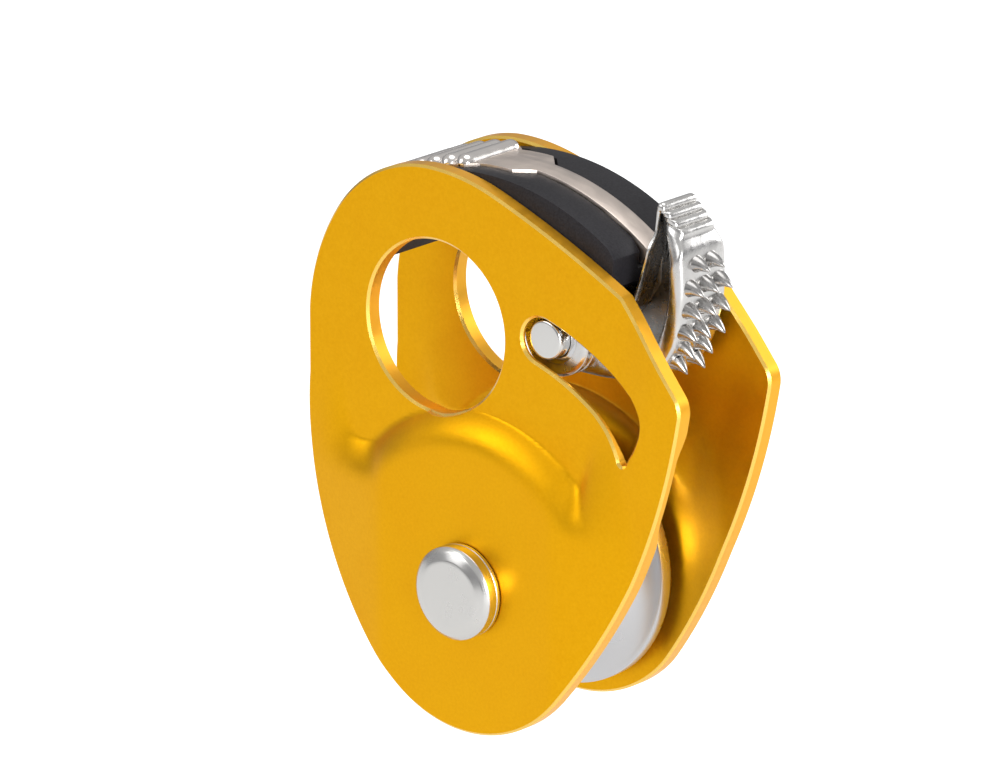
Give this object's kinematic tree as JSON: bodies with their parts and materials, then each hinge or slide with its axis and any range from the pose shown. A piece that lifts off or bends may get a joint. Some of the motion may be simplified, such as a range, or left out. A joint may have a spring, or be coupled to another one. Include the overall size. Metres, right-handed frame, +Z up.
{
  "type": "progress capture pulley",
  "caption": "Compact rope pulley with two formed side plates, a ball-bearing sheave, a toothed cam and a thumb catch that holds the cam raised.",
  "frame": {"origin": "middle of the sheave on its axle, halfway between the side plates", "axes": "+Z up towards the block and its catch, +Y along the axle from the mobile plate to the fixed plate, +X towards the cam"},
  "size_m": [0.0541, 0.027, 0.0647],
  "materials": {
    "anodised_plate": "bead-blasted golden-orange anodising",
    "black_nylon": "moulded, fine grain",
    "axle_steel": "turned stainless steel",
    "bearing_steel": "ground bright",
    "cast_steel": "investment cast and tumbled",
    "catch_steel": "satin formed strip",
    "sheave_alloy": "turned",
    "brass": "machined",
    "seal_rubber": "moulded"
  },
  "bodies": {
    "frame": {"rear_side_plate": "anodised_plate", "spacer_block": "black_nylon", "block_rivets": "axle_steel", "sheave_axle": "axle_steel", "axle_washer": "axle_steel", "axle_rear_collar": "axle_steel", "bearing_inner_race": "bearing_steel", "bearing_spacer_front": "axle_steel", "bearing_spacer_rear": "axle_steel", "cam_axle": "axle_steel", "catch_pivot_pin": "axle_steel", "catch_spring": "bearing_steel"},
    "mobile_plate": {"front_side_plate": "anodised_plate", "plate_bush": "brass"},
    "sheave_wheel": {"sheave": "sheave_alloy", "bearing_outer_race": "bearing_steel", "bearing_seal_front": "seal_rubber", "bearing_seal_rear": "seal_rubber", "bearing_circlip": "bearing_steel"},
    "ball_set": {"bearing_cage": "brass", "bearing_balls": "bearing_steel"},
    "cam": {"cam": "cast_steel", "cam_bush": "bearing_steel", "cam_spring": "bearing_steel"},
    "catch": {"catch_lever": "catch_steel", "catch_button": "catch_steel"}
  },
  "joints": [
    {"name": "mobile_plate_swing", "type": "hinge", "parent": "frame", "child": "mobile_plate", "pos_m": [0, 0, 0], "axis": [0, 1, 0], "range_deg": [-180, 0]},
    {"name": "sheave_spin", "type": "hinge", "parent": "frame", "child": "sheave_wheel", "pos_m": [0, 0, 0], "axis": [0, 1, 0], "continuous": true},
    {"name": "ball_set_roll", "type": "hinge", "parent": "frame", "child": "ball_set", "pos_m": [0, 0, 0], "axis": [0, 1, 0], "continuous": true},
    {"name": "cam_swing", "type": "hinge", "parent": "frame", "child": "cam", "pos_m": [0.0091, 0, 0.0301], "axis": [0, 1, 0], "range_deg": [0, 115]},
    {"name": "catch_press", "type": "hinge", "parent": "frame", "child": "catch", "pos_m": [-0.00167, 0, 0.04419], "axis": [0, 1, 0], "range_deg": [-5, 0], "stiffness_Nm_per_rad": 0.02, "deforming": ["catch_spring"]}
  ],
  "couplings": [
    {"joint": "ball_set_roll", "follows": "sheave_spin", "ratio": 0.596}
  ]
}
